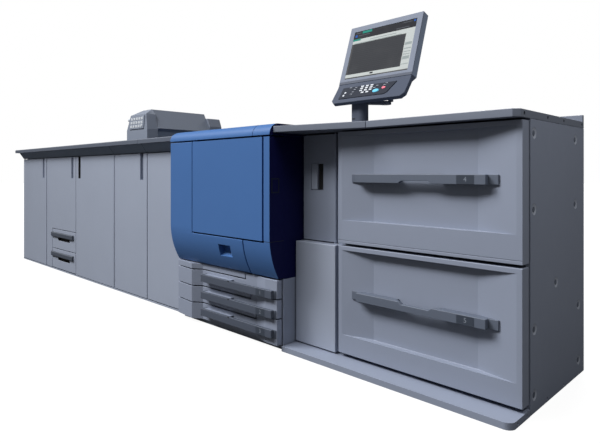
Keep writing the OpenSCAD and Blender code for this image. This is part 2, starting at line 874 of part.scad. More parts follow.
module small_handle(z) {
    x = [small_x[0], small_x[1] - 38];
    face = y_door - 14;
    color(dark_grey) along_x(x) polygon([[face, z + small_bar_z + 6], [face + 6, z + small_bar_z],
        [y_door, z + small_bar_z], [y_door, z + small_bar_z + 40], [face + 4, z + small_bar_z + 40],
        [face, z + small_bar_z + 34]]);
}

module upper_small_drawer() {
    small_drawer(small_z[1]);
}

module upper_small_handle() {
    small_handle(small_z[1]);
}

module lower_small_drawer() {
    small_drawer(small_z[0]);
}

module lower_small_handle() {
    small_handle(small_z[0]);
}

// Sheet inserter on its cabinet
hopper_x = [inserter_x[0] + 66, inserter_x[0] + 66 + hopper_w];
hopper_y = [y_plinth + hopper_set, y_plinth + hopper_set + hopper_d];
hopper_top = top_h + hopper_h;
hood_y = hopper_y[0] + 81;
hood_low = hopper_top - 136;
hood_tuck = 80;
hood_base_in = 45;
panel_low = hood_low - 8;
panel_high = hopper_top - 39;
panel_lean = 12;
panel_tuck = 34;

// Front of the inserter's control block, which leans back a little
function panel_y(z) = hopper_y[0] + panel_lean * (z - panel_low) / (panel_high - panel_low);

// Control block in front, hood with sloping sides behind it, and the narrower base under the hood
module inserter_housing() {
    color(mid_grey) union() {
        intersection() {
            along_x(hopper_x) polygon([[hopper_y[0], top_h], [hopper_y[0], panel_low],
                [panel_y(panel_high), panel_high], [hood_y, hopper_top], [hood_y + 10, hopper_top],
                [hood_y + 10, top_h]]);
            along_y([hopper_y[0] - 1, hood_y]) polygon([[hopper_x[0], top_h], [hopper_x[1], top_h],
                [hopper_x[1], panel_low], [hopper_x[1] - panel_tuck, panel_high],
                [hopper_x[1] - hood_tuck, hopper_top], [hopper_x[0] + hood_tuck, hopper_top],
                [hopper_x[0] + panel_tuck, panel_high], [hopper_x[0], panel_low]]);
        }
        along_y([hood_y - 1, hopper_y[1]]) polygon([[hopper_x[0], hood_low], [hopper_x[1], hood_low],
            [hopper_x[1] - hood_tuck, hopper_top - 1], [hopper_x[0] + hood_tuck, hopper_top - 1]]);
        slab([hopper_x[0] + hood_base_in, hopper_x[1] - hood_base_in], [hood_y - 1, hopper_y[1] - 1],
            [top_h, hood_low + 1]);
    }
}

module inserter_keypad() {
    margin = 45;
    t = 6;
    z = [panel_low + 6, panel_high - 9];
    color(pale) along_x([hopper_x[0] + margin, hopper_x[1] - margin]) polygon([[panel_y(z[0]), z[0]],
        [panel_y(z[1]), z[1]], [panel_y(z[1]) - t, z[1]], [panel_y(z[0]) - t, z[0]]]);
}

rear_in = [13, 40];
rear_shoulder = 61;

module inserter_rear_box() {
    high = top_h + rear_box_h;
    color(mid_grey) along_y([hopper_y[1], y_unit_back - clear]) polygon([[hopper_x[0] + rear_in[0], top_h],
        [hopper_x[1] - rear_in[0], top_h], [hopper_x[1] - rear_in[0], high - rear_shoulder],
        [hopper_x[1] - rear_in[1], high], [hopper_x[0] + rear_in[1], high],
        [hopper_x[0] + rear_in[0], high - rear_shoulder]]);
}

// Display on its post
display_x = [x_r - display_in - display_w / 2, x_r - display_in + display_w / 2];
display_mid = x_r - display_in;
display_foot = [y_plinth + display_set, top_h + display_z];
post_c = [x_r - post_in, y_plinth + 200];
post_top = top_h + post_h;
tilt_back = 22;
tilt_up = 110;
tilt_pin_r = 8;
knuckle_r = 16;

// Point of the display in side view, from its lower front edge: back and up along its slope
function on_display(back, up) = [display_foot[0] + back * cos(display_lean) + up * sin(display_lean),
    display_foot[1] - back * sin(display_lean) + up * cos(display_lean)];

tilt_c = on_display(display_t + tilt_back, tilt_up);
lug_gap = 44;
lug_t = 14;

module monitor_post() {
    w = 80;
    d = 55;
    color(black) union() {
        along_z([top_h, post_top]) union() {
            translate([post_c[0] - (w - d) / 2, post_c[1] - d / 2]) square([w - d, d]);
            for (s = [-1, 1]) translate([post_c[0] + s * (w - d) / 2, post_c[1]]) circle(r = d / 2);
        }
        z_rod(post_c[0], post_c[1], [post_top, post_top + 10], 12);
    }
}

module monitor_neck() {
    plate_z = [post_top + fit, post_top + fit + 14];
    end_c = [display_mid, tilt_c[0]];
    run = end_c - post_c;
    lug_x = [display_mid - lug_gap / 2 - lug_t, display_mid + lug_gap / 2 + lug_t];
    color(dark_grey) union() {
        difference() {
            along_z(plate_z) union() {
                translate(post_c) circle(r = 26);
                translate(end_c) circle(r = 26);
                translate(post_c) rotate(atan2(run[1], run[0])) translate([0, -22]) square([norm(run), 44]);
            }
            z_rod(post_c[0], post_c[1], [plate_z[0] - 1, plate_z[0] + 11], 12 + fit);
        }
        for (x = [lug_x[0], lug_x[1] - lug_t]) {
            slab([x, x + lug_t], [tilt_c[0] - 10, tilt_c[0] + 10], [plate_z[1] - 4, tilt_c[1]]);
            x_rod([x, x + lug_t], tilt_c[0], tilt_c[1], 13);
        }
        x_rod([lug_x[0] + 2, lug_x[1] - 2], tilt_c[0], tilt_c[1], tilt_pin_r);
    }
}

module display_place() {
    translate([display_mid, display_foot[0], display_foot[1]]) rotate([-display_lean, 0, 0]) children();
}

glass_d = 4;

module display_housing() {
    half = display_w / 2;
    knuckle = lug_gap - 4;
    color(pale) display_place() difference() {
        union() {
            slab([-half, half], [0, display_t], [0, display_h]);
            slab([-knuckle / 2, knuckle / 2], [display_t, display_t + tilt_back],
                [tilt_up - knuckle_r, tilt_up + knuckle_r]);
            x_rod([-knuckle / 2, knuckle / 2], display_t + tilt_back, tilt_up, knuckle_r);
        }
        slab([-half + bezel, half - bezel], [-1, glass_d], [bezel, display_h - bezel]);
        x_rod([-knuckle, knuckle], display_t + tilt_back, tilt_up, tilt_pin_r + fit);
    }
}

module display_screen() {
    half = display_w / 2 - bezel;
    color(black) display_place() slab([-half, half], [1, glass_d], [bezel, display_h - bezel]);
}

// Key shelf under the display, with its two front corners cut off
shelf_l = 91;
shelf_t = 20;
shelf_cut = 12;
shelf_pitch = 54.4;
shelf_top = [display_foot[0] - 10, display_foot[1] - 19];

module key_shelf() {
    half = display_w / 2;
    down = [-cos(shelf_pitch), -sin(shelf_pitch)];
    inward = [sin(shelf_pitch), -cos(shelf_pitch)];
    front = shelf_top + shelf_l * down;
    color(mid_grey) difference() {
        along_x(display_x) polygon([front, shelf_top, on_display(0, 0), on_display(display_t, 0),
            shelf_top + shelf_t * inward, front + shelf_t * inward]);
        translate([display_mid, shelf_top[0], shelf_top[1]]) rotate([shelf_pitch, 0, 0])
            for (s = [-1, 1]) translate([s * half, -shelf_l, 0]) rotate([0, 0, 45])
                slab([-shelf_cut, shelf_cut], [-shelf_cut, shelf_cut], [-2 * shelf_t, shelf_t]);
    }
}

feeder_plinth();
feeder_floor();
feeder_side_panel();
feeder_column();
feeder_back_panel();
drawer_runners();
feeder_worktop();
flared_worktop();
upper_drawer();
upper_drawer_handle();
lower_drawer();
lower_drawer_handle();
column_door();
column_lower_cover();
engine_base();
tray_bay_walls();
tray_runners();
tray_filler_plate();
engine_body();
engine_cap();
engine_right_cover();
toner_door();
lower_front_door();
tray_1();
tray_1_handle();
tray_2();
tray_2_handle();
tray_3();
tray_3_handle();
base_frame();
relay_body();
relay_front_panel();
inserter_cabinet();
stacker_body();
finisher_body();
small_drawer_runners();
front_fascia();
left_worktops();
finisher_left_door();
finisher_right_door();
stacker_door();
inserter_door();
inserter_door_grip();
upper_small_drawer();
upper_small_handle();
lower_small_drawer();
lower_small_handle();
inserter_housing();
inserter_keypad();
inserter_rear_box();
monitor_post();
monitor_neck();
display_housing();
display_screen();
key_shelf();
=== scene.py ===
"""Digital production printing press line: finishes, small fittings, studio and camera."""
import json
import math

import bmesh
import bpy
from mathutils import Matrix, Vector


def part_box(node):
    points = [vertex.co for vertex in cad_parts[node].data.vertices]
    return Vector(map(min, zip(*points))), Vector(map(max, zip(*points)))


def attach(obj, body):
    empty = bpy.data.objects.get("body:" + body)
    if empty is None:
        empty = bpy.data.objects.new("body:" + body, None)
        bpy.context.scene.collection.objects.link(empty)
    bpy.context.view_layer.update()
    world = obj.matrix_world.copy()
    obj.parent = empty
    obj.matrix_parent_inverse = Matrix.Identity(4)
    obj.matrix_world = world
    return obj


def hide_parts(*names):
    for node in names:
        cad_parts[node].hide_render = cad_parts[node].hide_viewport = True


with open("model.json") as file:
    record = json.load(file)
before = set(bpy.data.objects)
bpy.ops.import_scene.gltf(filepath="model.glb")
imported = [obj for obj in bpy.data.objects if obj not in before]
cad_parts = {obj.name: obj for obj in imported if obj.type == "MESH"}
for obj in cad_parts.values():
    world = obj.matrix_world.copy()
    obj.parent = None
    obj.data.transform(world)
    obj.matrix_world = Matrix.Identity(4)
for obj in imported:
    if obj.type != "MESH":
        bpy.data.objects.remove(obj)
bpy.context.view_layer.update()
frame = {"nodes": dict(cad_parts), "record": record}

MM = 0.001
scene = bpy.context.scene
scene.view_settings.view_transform = "Standard"

# Camera, as the line is seen in its picture of 600 by 443 pixels
PICTURE_W = 600
PICTURE_H = 443
FOCAL_PX = 519.17
HORIZON_PX = 172.25
CAMERA_YAW = 44.615
CAMERA_FROM_FEEDER = Vector((0.6805, -1.6513, 0.8293))
SENSOR_MM = 36.0


def srgb(red, green, blue):
    """Linear colour of a 0-255 screen colour."""
    def linear(value):
        value = value / 255.0
        return value / 12.92 if value <= 0.04045 else ((value + 0.055) / 1.055) ** 2.4
    return (linear(red), linear(green), linear(blue), 1.0)


# Shared shader effects
def shader_group(name, inputs, outputs):
    group = bpy.data.node_groups.new(name, "ShaderNodeTree")
    for label, default in inputs:
        socket = group.interface.new_socket(label, in_out="INPUT", socket_type="NodeSocketFloat")
        socket.default_value = default
    for label in outputs:
        group.interface.new_socket(label, in_out="OUTPUT", socket_type="NodeSocketFloat")
    return group


def noise_in(group, coords, scale_socket, detail, roughness=0.55):
    noise = group.nodes.new("ShaderNodeTexNoise")
    noise.inputs["Detail"].default_value = detail
    noise.inputs["Roughness"].default_value = roughness
    group.links.new(coords, noise.inputs["Vector"])
    group.links.new(scale_socket, noise.inputs["Scale"])
    return noise.outputs["Fac"]


def moulded_grain():
    """Pebbled skin of moulded and powder-coated shells: a fine height, a cloudy tone and a handling mask."""
    group = shader_group("moulded_grain", [("Grain Scale", 900.0), ("Cloud Scale", 3.0), ("Rub Scale", 9.0)],
                         ["Height", "Cloud", "Rub"])
    start = group.nodes.new("NodeGroupInput")
    end = group.nodes.new("NodeGroupOutput")
    coords = group.nodes.new("ShaderNodeTexCoord").outputs["Object"]
    group.links.new(noise_in(group, coords, start.outputs["Grain Scale"], 2.0), end.inputs["Height"])
    group.links.new(noise_in(group, coords, start.outputs["Cloud Scale"], 5.0, 0.6), end.inputs["Cloud"])
    rub = noise_in(group, coords, start.outputs["Rub Scale"], 8.0, 0.7)
    ramp = group.nodes.new("ShaderNodeMapRange")
    ramp.inputs["From Min"].default_value = 0.5
    ramp.inputs["From Max"].default_value = 0.75
    group.links.new(rub, ramp.inputs["Value"])
    group.links.new(ramp.outputs["Result"], end.inputs["Rub"])
    return group


GRAIN = moulded_grain()


def mixed(tree, factor, first, second):
    """Colour that runs from first to second with a mask."""
    mix = tree.nodes.new("ShaderNodeMix")
    mix.data_type = "RGBA"
    mix.inputs["A"].default_value = first
    mix.inputs["B"].default_value = second
    tree.links.new(factor, mix.inputs["Factor"])
    return mix.outputs["Result"]


def ranged(tree, value, low, high):
    ramp = tree.nodes.new("ShaderNodeMapRange")
    ramp.inputs["To Min"].default_value = low
    ramp.inputs["To Max"].default_value = high
    tree.links.new(value, ramp.inputs["Value"])
    return ramp.outputs["Result"]


def shaded(colour, factor):
    return (colour[0] * factor, colour[1] * factor, colour[2] * factor, 1.0)


def grained(name, colour, rough, grain=900.0, depth=0.06, spread=0.05, specular=0.5, metallic=0.0, coat=0.0):
    """Shell finish: cloudy tone, rubbed gloss and a pebbled skin."""
    material = bpy.data.materials.new(name)
    material.use_nodes = True
    tree = material.node_tree
    shader = tree.nodes["Principled BSDF"]
    shader.inputs["Specular IOR Level"].default_value = specular
    shader.inputs["Metallic"].default_value = metallic
    shader.inputs["Coat Weight"].default_value = coat
    shader.inputs["Coat Roughness"].default_value = 0.2
    skin = tree.nodes.new("ShaderNodeGroup")
    skin.node_tree = GRAIN
    skin.inputs["Grain Scale"].default_value = grain
    tone = mixed(tree, skin.outputs["Cloud"], shaded(colour, 1 - spread), shaded(colour, 1 + spread))
    tree.links.new(tone, shader.inputs["Base Color"])
    tree.links.new(ranged(tree, skin.outputs["Rub"], rough, rough - 0.08), shader.inputs["Roughness"])
    bump = tree.nodes.new("ShaderNodeBump")
    bump.inputs["Strength"].default_value = depth
    bump.inputs["Distance"].default_value = 0.001
    tree.links.new(skin.outputs["Height"], bump.inputs["Height"])
    tree.links.new(bump.outputs["Normal"], shader.inputs["Normal"])
    return material


PALE = grained("pale_shell", srgb(152, 160, 177), 0.55)
# The feeder finish is the pale shell paint made darker: painted shade on the feeder, its trays, grips and
# ledges.
FEEDER_PAINTED_SHADE = grained("feeder_shell_painted_shade", srgb(136, 144, 162), 0.55)
WORKTOP = grained("worktop_edge", srgb(112, 119, 134), 0.5, grain=700.0, depth=0.1)
HANDLE = grained("handle_grey", srgb(91, 99, 114), 0.5, grain=700.0, depth=0.1)
TRAY_BAR = grained("tray_bar_grey", srgb(74, 81, 95), 0.5, grain=700.0, depth=0.1)
LEFT_TOP = grained("left_worktop_edge", srgb(90, 97, 111), 0.5, grain=700.0, depth=0.1)
FASCIA = grained("fascia_dark", srgb(122, 134, 153), 0.6, specular=0.3)
BLUE = grained("engine_blue", srgb(70, 108, 163), 0.45, depth=0.03, specular=0.15, coat=0.02)
NAVY = grained("engine_side_navy", srgb(4, 8, 60), 0.6, specular=0.15)
# Black of the screen and other dark parts, and painted shade: the black sheets in the door gaps and the black
# line at the engine's lower seam.
BLACK = grained("black_and_painted_gap_shade", srgb(14, 15, 18), 0.7)
STEEL = grained("frame_steel", srgb(60, 63, 70), 0.45, metallic=0.4)
STAND = grained("stand_dark", srgb(80, 86, 100), 0.6, specular=0.15)
SHELF_GREY = grained("key_panel_grey", srgb(71, 78, 94), 0.65, specular=0.12)
DISPLAY_SHELL = grained("bezel_grey", srgb(112, 120, 137), 0.6, specular=0.2)
# The plug seat finish is the pale shell paint made lighter: painted highlight on the dishes round the plugs.
PLUG_SEAT_PAINTED_HIGHLIGHT = grained("plug_seat_painted_highlight", srgb(168, 175, 189), 0.45, depth=0.02)
INSERTER = grained("inserter_grey", srgb(121, 129, 144), 0.55)
WHITE_KEY = grained("white_key", srgb(196, 201, 208), 0.5, depth=0.02)
SMALL_BAR = grained("small_bar_grey", srgb(66, 73, 86), 0.55, grain=700.0, depth=0.1)
CYAN_KEY = grained("start_key", srgb(92, 190, 224), 0.35, depth=0.02)
RED_KEY = grained("stop_key", srgb(228, 110, 130), 0.35, depth=0.02)
PLATE = grained("plate_grey", srgb(58, 65, 77), 0.4, depth=0.02)
FIGURE = grained("figure_grey", srgb(126, 133, 145), 0.5, depth=0.02)
SOCKET = grained("socket_navy", srgb(18, 24, 46), 0.5, depth=0.02, specular=0.2)
KEY_PANEL = grained("key_panel_dark", srgb(36, 41, 53), 0.6, depth=0.04, specular=0.12)
GREY_KEY = grained("grey_key", srgb(120, 126, 138), 0.4, depth=0.02)


def glowing(name, colour, glow):
    """Lit field of the display: a faintly uneven colour that gives some light of its own."""
    material = grained(name, colour, 0.5, depth=0.0, spread=0.03, specular=0.04)
    shader = material.node_tree.nodes["Principled BSDF"]
    shader.inputs["Emission Color"].default_value = colour
    shader.inputs["Emission Strength"].default_value = glow
    return material


SCREEN_DARK = glowing("screen_dark", srgb(22, 24, 31), 0.1)
SCREEN_PANEL = glowing("screen_panel", srgb(42, 44, 49), 0.1)
SCREEN_LINE = glowing("screen_line", srgb(56, 58, 62), 0.1)
SCREEN_LIGHT = glowing("screen_light", srgb(166, 171, 170), 0.15)
SCREEN_MID = glowing("screen_mid", srgb(128, 136, 136), 0.2)
SCREEN_TEXT = glowing("screen_text", srgb(66, 69, 75), 0.2)
SCREEN_TEAL = glowing("screen_teal", srgb(6, 106, 94), 0.4)
SCREEN_BLUE = glowing("screen_blue", srgb(12, 66, 134), 0.4)


FACET_DEG = 7.0
ROUNDING_DEG = 50.0
ROUNDING_W = 4 * MM


def along_strip(edge, face):
    """True where an edge runs along a narrow face, as on the strips that round an edge."""
    longest = max(e.calc_length() for e in face.edges)
    return face.calc_area() < ROUNDING_W * longest and edge.calc_length() > 0.5 * longest


def set_sharp_edges(bm):
    """Keeps plane edges crisp, and lets facets and rounded edges shade smoothly."""
    for edge in bm.edges:
        angle = math.degrees(edge.calc_face_angle(0.0)) if len(edge.link_faces) == 2 else 90.0
        rounding = angle < ROUNDING_DEG and any(along_strip(edge, f) for f in edge.link_faces)
        edge.smooth = angle < FACET_DEG or rounding
    for face in bm.faces:
        face.smooth = True


def finished(name, bm, materials, body):
    """Makes a piece of a bmesh, gives it its finish and lets it ride on a body."""
    bmesh.ops.recalc_face_normals(bm, faces=bm.faces[:])
    set_sharp_edges(bm)
    mesh = bpy.data.meshes.new(name)
    bm.to_mesh(mesh)
    bm.free()
    for material in materials if isinstance(materials, list) else [materials]:
        mesh.materials.append(material)
    piece = bpy.data.objects.new(name, mesh)
    scene.collection.objects.link(piece)
    weighted = piece.modifiers.new("even_normals", "WEIGHTED_NORMAL")
    weighted.keep_sharp = True
    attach(piece, body)
    return piece


def long_sharp_edges(bm, width, angle_deg=40.0):
    sharp = math.radians(angle_deg)
    return [e for e in bm.edges
            if len(e.link_faces) == 2 and e.calc_face_angle(0.0) > sharp and e.calc_length() > 4 * width]


def rounded(bm, width, segments=2, edges=None):
    bmesh.ops.bevel(bm, geom=edges if edges is not None else long_sharp_edges(bm, width), offset=width,
                    offset_type="OFFSET", segments=segments, profile=0.5, affect="EDGES",
                    clamp_overlap=True, material=-1)


def node_bmesh(node):
    """Copy of a node's mesh with its loose triangles merged to clean faces."""
    bm = bmesh.new()
    bm.from_mesh(frame["nodes"][node].data)
    bmesh.ops.remove_doubles(bm, verts=bm.verts[:], dist=1e-5)
    bmesh.ops.dissolve_limit(bm, angle_limit=math.radians(0.6), verts=bm.verts[:], edges=bm.edges[:])
    return bm


BODY_OF = {n: b for b, nodes in frame["record"]["behaviour"]["bodies"].items() for n in nodes}


def dressed(node, materials, width=2.0, pick=None, levels=()):
    """Node with softened edges and its finish, in the node's own place, its faces split at some levels."""
    bm = node_bmesh(node)
    for level in levels:
        bmesh.ops.bisect_plane(bm, geom=bm.verts[:] + bm.edges[:] + bm.faces[:], dist=1e-6,
                               plane_co=(0, 0, level), plane_no=(0, 0, 1))
    if pick:
        for face in bm.faces:
            face.material_index = pick(face)
    if width:
        rounded(bm, width * MM)
    piece = finished(node + "_shell", bm, materials, BODY_OF[node])
    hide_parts(node)
    return piece


# Pieces in the feeder finish take the shell paint made darker: painted shade.
FINISHES = {
    "feeder_plinth": (FEEDER_PAINTED_SHADE, 3.0), "feeder_floor": (STEEL, 0), "feeder_side_panel": (FEEDER_PAINTED_SHADE, 1.5),
    "feeder_column": (FEEDER_PAINTED_SHADE, 2.0), "feeder_back_panel": (FEEDER_PAINTED_SHADE, 1.5), "drawer_runners": (STEEL, 0),
    "feeder_worktop": (WORKTOP, 2.0), "flared_worktop": (WORKTOP, 2.0), "upper_drawer": (FEEDER_PAINTED_SHADE, 2.5),
    "upper_drawer_handle": (HANDLE, 2.0), "lower_drawer": (FEEDER_PAINTED_SHADE, 2.5), "lower_drawer_handle": (HANDLE, 2.0),
    "column_door": (FEEDER_PAINTED_SHADE, 2.0), "column_lower_cover": (PALE, 3.0), "engine_base": (FEEDER_PAINTED_SHADE, 0),
    "tray_bay_walls": (FEEDER_PAINTED_SHADE, 2.0), "tray_runners": (STEEL, 0), "tray_filler_plate": (FEEDER_PAINTED_SHADE, 1.5),
    "engine_body": (NAVY, 1.5),
    "toner_door": (BLUE, 3.0), "lower_front_door": (BLUE, 3.0), "tray_1": (FEEDER_PAINTED_SHADE, 1.5),
    "tray_1_handle": (TRAY_BAR, 2.0), "tray_2": (FEEDER_PAINTED_SHADE, 1.5), "tray_2_handle": (TRAY_BAR, 2.0),
    "tray_3": (FEEDER_PAINTED_SHADE, 1.5), "tray_3_handle": (TRAY_BAR, 2.0), "base_frame": (PALE, 0),
    "relay_body": (PALE, 1.5), "relay_front_panel": (PALE, 2.0), "inserter_cabinet": (PALE, 1.5),
    "stacker_body": (PALE, 1.5), "finisher_body": (PALE, 1.5), "small_drawer_runners": (STEEL, 0),
    "front_fascia": (FASCIA, 1.5), "left_worktops": (LEFT_TOP, 1.5), "finisher_left_door": (PALE, 2.0),
    "finisher_right_door": (PALE, 2.0), "stacker_door": (PALE, 2.0), "inserter_door": (PALE, 2.0),
    "inserter_door_grip": (HANDLE, 0),
    "upper_small_drawer": (PALE, 1.5), "upper_small_handle": (SMALL_BAR, 1.5),
    "lower_small_drawer": (PALE, 1.5), "lower_small_handle": (SMALL_BAR, 1.5),
    "inserter_keypad": (INSERTER, 2.0), "inserter_rear_box": (INSERTER, 4.0),
    "monitor_post": (STAND, 2.0), "monitor_neck": (STAND, 2.0), "display_housing": (DISPLAY_SHELL, 4.0),
    "display_screen": (BLACK, 0), "key_shelf": (SHELF_GREY, 3.0),
}
for node_name, (node_finish, edge_mm) in FINISHES.items():
    dressed(node_name, node_finish, edge_mm)

# The band round BREAK_Z on the right cover is painted black: painted shade of the seam where the lower cover
# begins.
BREAK_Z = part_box("toner_door")[0].z - 1 * MM
BREAK_HALF = 1.3 * MM


def engine_pick(face):
    """Blue front and top, navy right side, and a black line painted where the lower cover begins: painted
    shade of the seam.
    """
    if abs(face.calc_center_median().z - BREAK_Z) < BREAK_HALF:
        return 2
    return 1 if face.normal.x > 0.7 else 0


dressed("engine_cap", [BLUE, NAVY, BLACK], 4.0, engine_pick)
dressed("engine_right_cover", [BLUE, NAVY, BLACK], 3.0, engine_pick,
        (BREAK_Z - BREAK_HALF, BREAK_Z + BREAK_HALF))

HOOD_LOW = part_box("inserter_housing")[1].z - 136 * MM


def inserter_pick(face):
    """Grey hood and front, dark base under the hood."""
    middle = face.calc_center_median()
    under_hood = middle.z < HOOD_LOW + 1 * MM and middle.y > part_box("inserter_housing")[0].y + 80 * MM
    return 1 if under_hood else 0


dressed("inserter_housing", [INSERTER, FASCIA], 3.0, inserter_pick)


# Fittings
def block(low, high, width=0.0, segments=2):
    """Box between two corners, with its edges rounded by width."""
    bm = bmesh.new()
    bmesh.ops.create_cube(bm, size=1.0)
    for vert in bm.verts:
        vert.co = Vector([low[i] + (vert.co[i] + 0.5) * (high[i] - low[i]) for i in range(3)])
    if width:
        rounded(bm, width, segments, bm.edges[:])
    return bm


def rod(start, end, radius, segments=32, tip=None):
    """Round bar between two points, which may end in another radius."""
    start = Vector(start)
    along = Vector(end) - start
    bm = bmesh.new()
    bmesh.ops.create_cone(bm, cap_ends=True, segments=segments, radius1=radius,
                          radius2=radius if tip is None else tip, depth=along.length)
    turn = along.to_track_quat("Z", "Y").to_matrix().to_4x4()
    bmesh.ops.transform(bm, matrix=Matrix.Translation(start + along / 2) @ turn, verts=bm.verts[:])
    return bm


def placed(bm, matrix):
    bmesh.ops.transform(bm, matrix=matrix, verts=bm.verts[:])
    return bm


def merged(parts):
    """One bmesh of several."""
    whole = bmesh.new()
    for bm in parts:
        scratch = bpy.data.meshes.new("scratch")
        bm.to_mesh(scratch)
        bm.free()
        whole.from_mesh(scratch)
        bpy.data.meshes.remove(scratch)
    return whole


def figure(text, height):
    """Flat raised figure in its own plane, about its middle."""
    curve = bpy.data.curves.new("figure", "FONT")
    curve.body = text
    curve.size = height * 1.4
    curve.extrude = 0.0002
    curve.align_x = "CENTER"
    curve.align_y = "CENTER"
    holder = bpy.data.objects.new("figure", curve)
    scene.collection.objects.link(holder)
    mesh = bpy.data.meshes.new_from_object(holder.evaluated_get(bpy.context.evaluated_depsgraph_get()))
    bm = bmesh.new()
    bm.from_mesh(mesh)
    bpy.data.objects.remove(holder)
    bpy.data.curves.remove(curve)
    bpy.data.meshes.remove(mesh)
    return bm


FRONTWARDS = Matrix.Rotation(math.radians(90.0), 4, "X")


def facing_front(bm, place):
    """Turns a flat figure to face the operator's side at a place."""
    return placed(bm, Matrix.Translation(place) @ FRONTWARDS)


def cup(low, high, wall):
    """Lining of a recess that opens to the front: its back and its four sides."""
    return merged([
        block((low[0], high[1] - wall, low[2]), high),
        block(low, (low[0] + wall, high[1], high[2])),
        block((high[0] - wall, low[1], low[2]), high),
        block(low, (high[0], high[1], low[2] + wall)),
        block((low[0], low[1], high[2] - wall), high),
    ])


# Black sheets behind the gaps between doors: painted shade in the gaps
GAP_SHADE_SHEET_T = 1.0 * MM
DOOR_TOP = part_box("stacker_door")[1].z
CABINET_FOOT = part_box("stacker_body")[0].z


# Each sheet is black so that the gap in front of it reads dark: painted shade.
def gap_shade_sheet(name, x_low, x_high, y, z_low, z_high):
    finished(name, block((x_low, y - GAP_SHADE_SHEET_T, z_low), (x_high, y, z_high)), BLACK, "frame")


for unit in ("inserter_cabinet", "stacker_body"):
    unit_low, unit_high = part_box(unit)
    gap_shade_sheet(unit + "_painted_gap_shade", unit_low.x, unit_high.x, unit_low.y, CABINET_FOOT, DOOR_TOP)
finisher_low, finisher_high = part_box("finisher_body")
small_low, small_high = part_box("upper_small_drawer")
BAY_MARGIN = 16 * MM
gap_shade_sheet("finisher_left_painted_gap_shade", finisher_low.x, small_low.x - BAY_MARGIN, finisher_low.y,
      CABINET_FOOT, DOOR_TOP)
gap_shade_sheet("finisher_upper_painted_gap_shade", small_low.x - BAY_MARGIN, finisher_high.x, finisher_low.y,
      small_high.z + BAY_MARGIN, DOOR_TOP)
column_low, column_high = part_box("column_door")
gap_shade_sheet("column_painted_gap_shade", column_low.x - 4 * MM, column_high.x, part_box("feeder_column")[0].y + 27 * MM,
      column_low.z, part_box("feeder_worktop")[0].z - 2 * MM)

# Grips of the four tall doors
GRIP_W = 42 * MM
GRIP_IN = 45 * MM
GRIP_H = 172 * MM
GRIP_D = 18 * MM
WALL = 1.2 * MM
# Three grip cups take the feeder finish, the shell paint made darker: painted shade.
GRIPS = (("finisher_left_door", True, FEEDER_PAINTED_SHADE), ("finisher_right_door", True, FEEDER_PAINTED_SHADE),
         ("stacker_door", False, BLACK), ("inserter_door", True, FEEDER_PAINTED_SHADE))
for door, at_right, grip_finish in GRIPS:
    door_low, door_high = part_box(door)
    grip_x = door_high.x - GRIP_IN - GRIP_W if at_right else door_low.x + GRIP_IN
    grip_low = Vector((grip_x, door_low.y + 0.5 * MM, door_high.z - GRIP_H))
    grip_high = Vector((grip_x + GRIP_W, door_low.y + GRIP_D, door_high.z - 0.5 * MM))
    finished(door + "_grip_cup", cup(grip_low, grip_high, WALL), grip_finish, BODY_OF[door])

# Finger pockets of the small drawers
POCKET_X = (125 * MM, 369 * MM)
POCKET_Z = (69 * MM, 96 * MM)
for drawer in ("upper_small_drawer", "lower_small_drawer"):
    drawer_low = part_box(drawer)[0]
    front = drawer_low.y
    pocket_low = (drawer_low.x + POCKET_X[0], front + 1 * MM, drawer_low.z + POCKET_Z[0])
    pocket_high = (drawer_low.x + POCKET_X[1], front + 20 * MM, drawer_low.z + POCKET_Z[1])
    finished(drawer + "_pocket", cup(pocket_low, pocket_high, WALL), BLACK, BODY_OF[drawer])

# Number plates and figures on the handle bars
PLATE_T = 0.8 * MM


def number_plate(handle, text, right_in, width, figure_h):
    low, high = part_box(handle)
    plate_low = Vector((high.x - right_in - width, low.y - PLATE_T, low.z + 2 * MM))
    plate_high = Vector((high.x - right_in, low.y, high.z - 2 * MM))
    finished(handle + "_plate", block(plate_low, plate_high), PLATE, BODY_OF[handle])
    middle = (plate_low + plate_high) / 2
    middle.y = plate_low.y
    finished(handle + "_figure", facing_front(figure(text, figure_h), middle), FIGURE, BODY_OF[handle])


# Dark notch in the top of each tray bar, and the pale ledge that runs up to it behind the bar
NOTCH_IN = 242 * MM
NOTCH_HALF = 6 * MM
TRAY_FOOT = 17 * MM
TRAY_BAR_BACK = 14 * MM
LEDGE_T = 4 * MM
for tray in ("1", "2", "3"):
    bar = "tray_" + tray + "_handle"
    number_plate(bar, tray, 61 * MM, 62 * MM, 19 * MM)
    bar_low, bar_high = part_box(bar)
    notch_x = bar_low.x + NOTCH_IN
    notch = block((notch_x - NOTCH_HALF, bar_low.y - 0.4 * MM, bar_high.z - 5 * MM),
                  (notch_x + NOTCH_HALF, bar_low.y + 4 * MM, bar_high.z + 0.4 * MM))
    finished(bar + "_notch", notch, BLACK, BODY_OF[bar])
    # The ledge takes the feeder finish, the shell paint made darker: painted shade.
    ledge = block((bar_low.x + TRAY_FOOT, bar_low.y + TRAY_BAR_BACK, bar_high.z - LEDGE_T),
                  (notch_x - NOTCH_HALF, bar_high.y + 1 * MM, bar_high.z - 0.3 * MM))
    finished(bar + "_ledge", ledge, FEEDER_PAINTED_SHADE, BODY_OF[bar])
number_plate("upper_drawer_handle", "4", 79 * MM, 67 * MM, 18 * MM)
number_plate("lower_drawer_handle", "5", 79 * MM, 67 * MM, 18 * MM)

